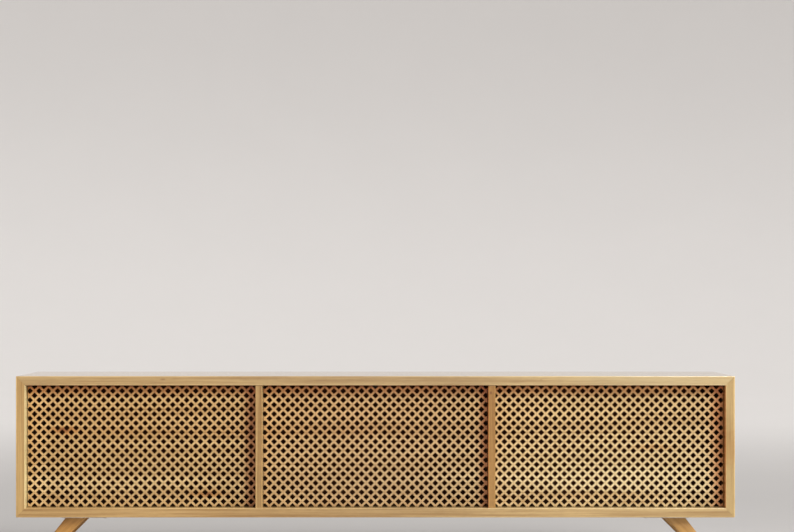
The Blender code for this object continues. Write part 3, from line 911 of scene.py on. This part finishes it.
def make_lattice_tree():
    """A sheet pierced by square holes that stand on their corners, cut to a flap's outline."""
    tree, given, gives = geometry_tree("Pierced Sheet", {
        "Vector": ["Low", "High", "First Hole"], "Float": ["Spacing", "Hole Side", "Chamfer"],
        "Material": ["Material"]})
    size = split(tree, vector_calc(tree, "SUBTRACT", given["High"], given["Low"]))
    thickness = size["Y"]
    half = calc(tree, "MULTIPLY", thickness, 0.5)
    spacing = given["Spacing"]

    # One cell of the front: a square ring, a chamfer and the hole's walls down to mid-thickness.
    cell = shape(tree, "MeshGrid", {"Size X": spacing, "Size Y": spacing, "Vertices X": 2, "Vertices Y": 2})
    mouth = calc(tree, "MULTIPLY_ADD", given["Chamfer"], 2.0, given["Hole Side"])
    steps = (
        (calc(tree, "DIVIDE", mouth, spacing), 0.0),
        (calc(tree, "DIVIDE", given["Hole Side"], mouth), calc(tree, "MULTIPLY", given["Chamfer"], -1.0)),
        (1.0, calc(tree, "SUBTRACT", given["Chamfer"], half)))
    inner = True
    for scale, sink in steps:
        pushed = add_node(tree, "GeometryNodeExtrudeMesh", {
            "Mesh": cell, "Selection": inner, "Offset Scale": sink}, mode="FACES")
        inner = pushed.outputs["Top"]
        cell = shape(tree, "ScaleElements", {
            "Geometry": pushed.outputs["Mesh"], "Selection": inner, "Scale": scale})
    cell = shape(tree, "DeleteGeometry", {"Geometry": cell, "Selection": inner}, domain="FACE")
    cell = move(tree, cell, combine(tree, 0.0, 0.0, half), ON_CORNER)

    # Cells wherever they touch the flap's outline, with the first hole at the origin.
    low = split(tree, vector_calc(tree, "SUBTRACT", given["Low"], given["First Hole"]))
    high = split(tree, vector_calc(tree, "SUBTRACT", given["High"], given["First Hole"]))
    reach = vector_calc(tree, "LENGTH", combine(tree, size["X"], size["Z"], 0.0))
    count = calc(tree, "MULTIPLY_ADD", calc(tree, "CEIL", calc(tree, "DIVIDE", reach, spacing)), 2.0, 1.0)
    width = calc(tree, "MULTIPLY", calc(tree, "SUBTRACT", count, 1.0), spacing)
    points = shape(tree, "MeshGrid", {
        "Size X": width, "Size Y": width, "Vertices X": count, "Vertices Y": count})
    points = move(tree, points, rotation=ON_CORNER)
    at = split(tree, shape(tree, "InputPosition"))
    pairs = ((low["X"], at["X"]), (at["X"], high["X"]), (low["Z"], at["Y"]), (at["Y"], high["Z"]))
    beyond = over_all(tree, "MAXIMUM", 0.0, *(calc(tree, "SUBTRACT", *pair) for pair in pairs))
    outside = calc(tree, "GREATER_THAN", beyond, calc(tree, "MULTIPLY", spacing, CUT_BEYOND))
    points = shape(tree, "DeleteGeometry", {"Geometry": points, "Selection": outside}, domain="POINT")
    cells = shape(tree, "InstanceOnPoints", {"Points": points, "Instance": cell})
    front = merge(tree, shape(tree, "RealizeInstances", {"Geometry": cells}))

    # The outer edge is carried down to mid-thickness, and a mirrored copy closes the sheet.
    lone_edge = calc(tree, "LESS_THAN", shape(tree, "InputMeshEdgeNeighbors"), 1.5)
    on_face = calc(tree, "GREATER_THAN", at["Z"], calc(tree, "MULTIPLY", half, 0.5))
    skirt = shape(tree, "ExtrudeMesh", {
        "Mesh": front, "Selection": calc(tree, "MULTIPLY", lone_edge, on_face),
        "Offset": (0.0, 0.0, -1.0), "Offset Scale": half}, mode="EDGES")
    back = shape(tree, "FlipFaces", {"Mesh": move(tree, skirt, scale=(1.0, 1.0, -1.0))})
    sheet = merge(tree, join(tree, skirt, back))

    # The sheet is cut to the flap's outline.
    middle = combine(
        tree, calc(tree, "MULTIPLY", calc(tree, "ADD", low["X"], high["X"]), 0.5),
        calc(tree, "MULTIPLY", calc(tree, "ADD", low["Z"], high["Z"]), 0.5), 0.0)
    extent = combine(tree, size["X"], size["Z"], calc(tree, "MULTIPLY", thickness, 2.0))
    sheet = solid(tree, "INTERSECT", sheet, block(tree, extent, middle))
    first, depth = split(tree, given["First Hole"]), split(tree, given["Low"])["Y"]
    place = combine(tree, first["X"], calc(tree, "ADD", depth, half), first["Z"])
    finish_tree(tree, move(tree, sheet, place, FACING), given["Material"], gives)
    return tree


# A screw's dome is built of these segments and rings. Its cross is this long and wide, as shares of
# the head's radius.
DOME_SEGMENTS = 24
DOME_RINGS = 12
CROSS_LENGTH = 1.05
CROSS_WIDTH = 0.24


def make_screw_tree():
    """A domed cross-head screw on each point, all facing one way and each turned by chance."""
    tree, given, gives = geometry_tree("Cross-head Screws", {
        "Float": ["Head Radius", "Head Height"], "Vector": ["Facing"], "Int": ["Seed"],
        "Material": ["Material"]})
    radius, height = given["Head Radius"], given["Head Height"]
    dome = shape(tree, "MeshUVSphere", {
        "Segments": DOME_SEGMENTS, "Rings": DOME_RINGS, "Radius": radius})
    dome = move(tree, dome, scale=combine(tree, 1.0, 1.0, calc(tree, "DIVIDE", height, radius)))
    top = combine(tree, 0.0, 0.0, height)
    wide = calc(tree, "MULTIPLY", radius, 3.0)
    upper_half = combine(tree, wide, wide, calc(tree, "MULTIPLY", height, 2.0))
    dome = solid(tree, "INTERSECT", dome, block(tree, upper_half, top))
    arm = [calc(tree, "MULTIPLY", radius, share) for share in (CROSS_LENGTH, CROSS_WIDTH)]
    for extent in (arm, arm[::-1]):
        dome = solid(tree, "DIFFERENCE", dome, block(tree, combine(tree, *extent, height), top))
    spin = add_node(tree, "FunctionNodeRandomValue", {"Seed": given["Seed"]}, data_type="FLOAT")
    spin.inputs[3].default_value = pi / 2
    twist = add_node(tree, "FunctionNodeAxisAngleToRotation", {
        "Axis": (0.0, 0.0, 1.0), "Angle": spin.outputs[1]}).outputs[0]
    facing = add_node(tree, "FunctionNodeAlignRotationToVector", {"Vector": given["Facing"]}).outputs[0]
    turn = add_node(tree, "FunctionNodeRotateRotation", {
        "Rotation": facing, "Rotate By": twist}, rotation_space="LOCAL").outputs[0]
    screws = shape(tree, "InstanceOnPoints", {
        "Points": given["Geometry"], "Instance": dome, "Rotation": turn})
    finish_tree(tree, screws, given["Material"], gives)
    return tree


# The back is let this far into the boards round it, so that no light shows past it.
BACK_OVERLAP = 0.0005
# How far the back's edges and the ends of the legs are rounded over.
BACK_EASING = 0.0004
LEG_EASING = 0.0008


def eased_copy(node, name, easing, chosen, grown_by=(0.0, 0.0, 0.0)):
    """A node's own shape, welded and grown from its middle, with the chosen edges rounded over."""
    middle = middle_of(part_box(node))
    bm = bmesh.new()
    bm.from_mesh(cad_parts[node].data)
    bmesh.ops.remove_doubles(bm, verts=bm.verts, dist=SAME_POINT)
    bmesh.ops.dissolve_limit(bm, angle_limit=radians(0.5), verts=bm.verts, edges=bm.edges)
    for vertex in bm.verts:
        for axis, growth in enumerate(grown_by):
            vertex.co[axis] += copysign(growth, vertex.co[axis] - middle[axis])
    edges = [edge for edge in bm.edges if chosen(edge)]
    bmesh.ops.bevel(bm, geom=edges, offset=easing, segments=3, profile=0.5, affect="EDGES")
    mesh = bpy.data.meshes.new(name)
    bm.to_mesh(mesh)
    bm.free()
    shade_by_angle(mesh)
    return mesh


def shade_by_angle(mesh):
    """Smooth shading but for real corners."""
    mesh.shade_smooth()
    mesh.set_sharp_from_angle(angle=SMOOTH_BELOW)


def is_level(edge):
    return abs(edge.verts[0].co.z - edge.verts[1].co.z) < SAME_POINT


def leg_direction(node):
    """The way a leg runs from its top to its foot."""
    top = middle_of(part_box(node + "_plate"))
    foot = middle_of(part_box(node + "_glide"))
    lean = Vector((foot.x - top.x, 0, foot.z - top.z))
    return lean.normalized()


# The steps, each an operator

# The ways a screw's head faces, and where a latch's screws lie along its depth.
DOWN = (0.0, 0.0, -1.0)
REARWARD = (0.0, 1.0, 0.0)
LATCH_SHARES = (0.35, 0.8)


class SIDEBOARD_OT_flaps(bpy.types.Operator):
    """Cut the three pierced oak flaps"""
    bl_idname = "sideboard.flaps"
    bl_label = "Pierced flaps"

    def execute(self, context):
        sizes = context.scene.sideboard_lattice
        finish = lattice_finish(context.scene.sideboard_oak, sizes)
        tree = make_lattice_tree()
        for bay in BAYS:
            low, high = flap_box(bay)
            low.z -= sizes.foot
            nearest = round((low.x + high.x) / 2 / sizes.pitch) * sizes.pitch
            piece = grow(bay + "_flap_lattice", tree, {
                "Low": low, "High": high,
                "First Hole": Vector((nearest, 0.0, high.z - sizes.first_row_drop)),
                "Spacing": sizes.pitch / sqrt(2), "Hole Side": sizes.hole_side,
                "Chamfer": sizes.chamfer, "Material": finish})
            if not piece.data.polygons:
                raise RuntimeError(piece.name + " came out empty")
            name = bay + "_flap"
            claim(piece, name, (name + "_front_slats", name + "_back_slats"))
        return {"FINISHED"}


class SIDEBOARD_OT_case(bpy.types.Operator):
    """Finish the boards, dividers and back of the case"""
    bl_idname = "sideboard.case"
    bl_label = "Case"

    def execute(self, context):
        look = context.scene.sideboard_oak
        for seed, (node, rotation, polish, tint) in enumerate(BOARDS):
            dress(node, board_finish(look, node, rotation, seed + 1.0, polish, tint))
        # The back is stained dark, and its dark inner face also stands in for the shade behind the flaps'
        # holes.
        back = eased_copy(
            "back_panel", "stained_back", BACK_EASING, bool, (BACK_OVERLAP, 0.0, BACK_OVERLAP))
        back.materials.append(stained_and_shaded_back_finish(look))
        new_piece("stained_back", back, "case", ("back_panel",))
        return {"FINISHED"}


class SIDEBOARD_OT_legs(bpy.types.Operator):
    """Ease the ends of the four tapered legs and finish them"""
    bl_idname = "sideboard.legs"
    bl_label = "Legs"

    def execute(self, context):
        look = context.scene.sideboard_oak
        finishes = {side: leg_finish(look, side) for side in SIDES}
        for node in LEGS:
            mesh = eased_copy(node, node + "_oak", LEG_EASING, is_level)
            mesh.materials.append(finishes["left" if "left" in node else "right"])
            new_piece(node + "_oak", mesh, "case", (node,))
        return {"FINISHED"}


class SIDEBOARD_OT_fittings(bpy.types.Operator):
    """Finish the plates, pivots, strikers, latches and glides, and drive their screws"""
    bl_idname = "sideboard.fittings"
    bl_label = "Fittings and screws"

    def execute(self, context):
        sizes = context.scene.sideboard_fittings
        steel, blackened, plastic = [fitting_finish(name) for name in FITTING_FINISHES]
        for leg in LEGS:
            dress(leg + "_plate", steel)
            dress(leg + "_glide", plastic)
        for bay in BAYS:
            dress(bay + "_latch", plastic)
            for fitting in ("left_pivot", "right_pivot", "striker"):
                dress(f"{bay}_flap_{fitting}", blackened)
        tree = make_screw_tree()
        large = {"Head Radius": sizes.head_radius, "Head Height": sizes.head_height}
        small = {"Head Radius": sizes.small_radius, "Head Height": sizes.small_height}
        sets = [
            ("leg_plate_screws", "case", self.plate_points(sizes), large, DOWN, 1),
            ("back_screws", "case", self.back_points(sizes), small, REARWARD, 2),
            ("latch_screws", "case", self.latch_points(), small, DOWN, 3)]
        for bay in BAYS:
            low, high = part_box(f"{bay}_flap_striker")
            point = ((low.x + high.x) / 2, high.y, (low.z + high.z) / 2)
            sets.append((f"{bay}_striker_screw", bay + "_flap", [point], small, REARWARD, 4))
        for name, body, points, head, facing, seed in sets:
            values = {**head, "Facing": facing, "Seed": seed, "Material": steel}
            piece = grow(name, tree, values, points)
            claim(piece, body)
        return {"FINISHED"}

    def plate_points(self, sizes):
        """Four screws in each leg plate, clear of the leg's own top."""
        points = []
        for leg in LEGS:
            low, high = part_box(leg + "_plate")
            for x in (low.x + sizes.plate_margin, high.x - sizes.plate_margin):
                for y in (low.y + sizes.plate_margin, high.y - sizes.plate_margin):
                    points.append((x, y, low.z))
        return points

    def back_points(self, sizes):
        """Upright rows of screws through the back into the rear edge of each divider."""
        low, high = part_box("back_panel")
        step = (high.z - low.z) / sizes.back_rows
        return [
            (middle_of(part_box(side + "_divider")).x, high.y, low.z + (row + 0.5) * step)
            for side in SIDES for row in range(sizes.back_rows)]

    def latch_points(self):
        """Two screws up through each latch into the top board."""
        points = []
        for bay in BAYS:
            low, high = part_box(bay + "_latch")
            for share in LATCH_SHARES:
                points.append(((low.x + high.x) / 2, low.y + share * (high.y - low.y), low.z))
        return points


class SIDEBOARD_OT_studio(bpy.types.Operator):
    """Set the pale floor, the soft lights and the camera"""
    bl_idname = "sideboard.studio"
    bl_label = "Studio"

    def execute(self, context):
        setup = context.scene.sideboard_studio
        self.lay_floor(context, setup)
        self.hang_lights(context, setup)
        self.stand_camera(context, setup)
        return {"FINISHED"}

    def lay_floor(self, context, setup):
        """A round floor that curves up into a wall all the way round."""
        profile = [(radius, 0.0) for radius in BOWL_RINGS]
        for step in range(1, BOWL_STEPS + 1):
            turn = Matrix.Rotation(pi / 2 * step / BOWL_STEPS, 2)
            x, z = turn @ Vector((0.0, -BOWL_CURVE))
            profile.append((BOWL_RINGS[-1] + x, BOWL_CURVE + z))
        profile.append((BOWL_RINGS[-1] + BOWL_CURVE, BOWL_WALL))
        bm = bmesh.new()
        verts = [bm.verts.new((r, 0.0, z)) for r, z in profile]
        edges = [bm.edges.new(pair) for pair in zip(verts, verts[1:])]
        bmesh.ops.spin(
            bm, geom=verts + edges, axis=(0, 0, 1), cent=(0, 0, 0), angle=2 * pi,
            steps=BOWL_SIDES, use_merge=True)
        rim = [edge for edge in bm.edges if edge.is_boundary and edge.verts[0].co.length < 1.0]
        bmesh.ops.holes_fill(bm, edges=rim)
        bmesh.ops.recalc_face_normals(bm, faces=bm.faces)
        for face in bm.faces:
            outward = face.calc_center_median().xy.normalized()
            if face.normal.z < outward.dot(face.normal.xy):
                face.normal_flip()
        mesh = bpy.data.meshes.new("studio_bowl")
        bm.to_mesh(mesh)
        bm.free()
        mesh.shade_smooth()
        mesh.materials.append(floor_finish(setup.floor_colour, setup.wall_glow))
        floor = bpy.data.objects.new("studio_bowl", mesh)
        context.scene.collection.objects.link(floor)

    def hang_lights(self, context, setup):
        for name in ("key", "side"):
            data = bpy.data.lights.new(name, "AREA")
            data.size = getattr(setup, name + "_size")
            data.energy = getattr(setup, name + "_power")
            data.spread = setup.spread
            light = bpy.data.objects.new(name, data)
            light.location = getattr(setup, name + "_place")
            aim = middle_of(CAD_BOX) - light.location
            light.rotation_euler = aim.to_track_quat("-Z", "Y").to_euler()
            light.visible_camera = False
            context.scene.collection.objects.link(light)
        world = bpy.data.worlds.new("soft_sky")
        world.use_nodes = True
        sky = world.node_tree.nodes["Background"].inputs
        sky["Color"].default_value = opaque(SKY_COLOUR)
        sky["Strength"].default_value = setup.sky
        context.scene.world = world
        context.scene.view_settings.view_transform = "Standard"

    def stand_camera(self, context, setup):
        data = bpy.data.cameras.new("camera")
        data.lens = setup.lens
        data.sensor_width = 36.0
        data.shift_x = setup.shift_x
        data.shift_y = setup.shift_y
        camera = bpy.data.objects.new("camera", data)
        camera.location = setup.camera_place
        camera.rotation_euler = (pi / 2, 0.0, 0.0)
        context.scene.collection.objects.link(camera)
        context.scene.camera = camera


STEPS = (
    SIDEBOARD_OT_flaps, SIDEBOARD_OT_case, SIDEBOARD_OT_legs, SIDEBOARD_OT_fittings, SIDEBOARD_OT_studio)


class SIDEBOARD_PT_dressing(bpy.types.Panel):
    """Lists the sizes and the steps"""
    bl_idname = "SIDEBOARD_PT_dressing"
    bl_label = "Sideboard"
    bl_space_type = "VIEW_3D"
    bl_region_type = "UI"
    bl_category = "Sideboard"

    def draw(self, context):
        for name, group in GROUPS.items():
            box = self.layout.box()
            settings = getattr(context.scene, name)
            for key in group.__annotations__:
                box.prop(settings, key)
        for step in STEPS:
            self.layout.operator(step.bl_idname)


CLASSES = (*GROUPS.values(), *STEPS, SIDEBOARD_PT_dressing)


def register():
    for cls in CLASSES:
        bpy.utils.register_class(cls)
    for name, group in GROUPS.items():
        setattr(bpy.types.Scene, name, PointerProperty(type=group))


def unregister():
    for name in GROUPS:
        delattr(bpy.types.Scene, name)
    for cls in reversed(CLASSES):
        bpy.utils.unregister_class(cls)


def main():
    register()
    bpy.ops.sideboard.flaps()
    bpy.ops.sideboard.case()
    bpy.ops.sideboard.legs()
    bpy.ops.sideboard.fittings()
    bpy.ops.sideboard.studio()


if __name__ == "__main__":
    main()
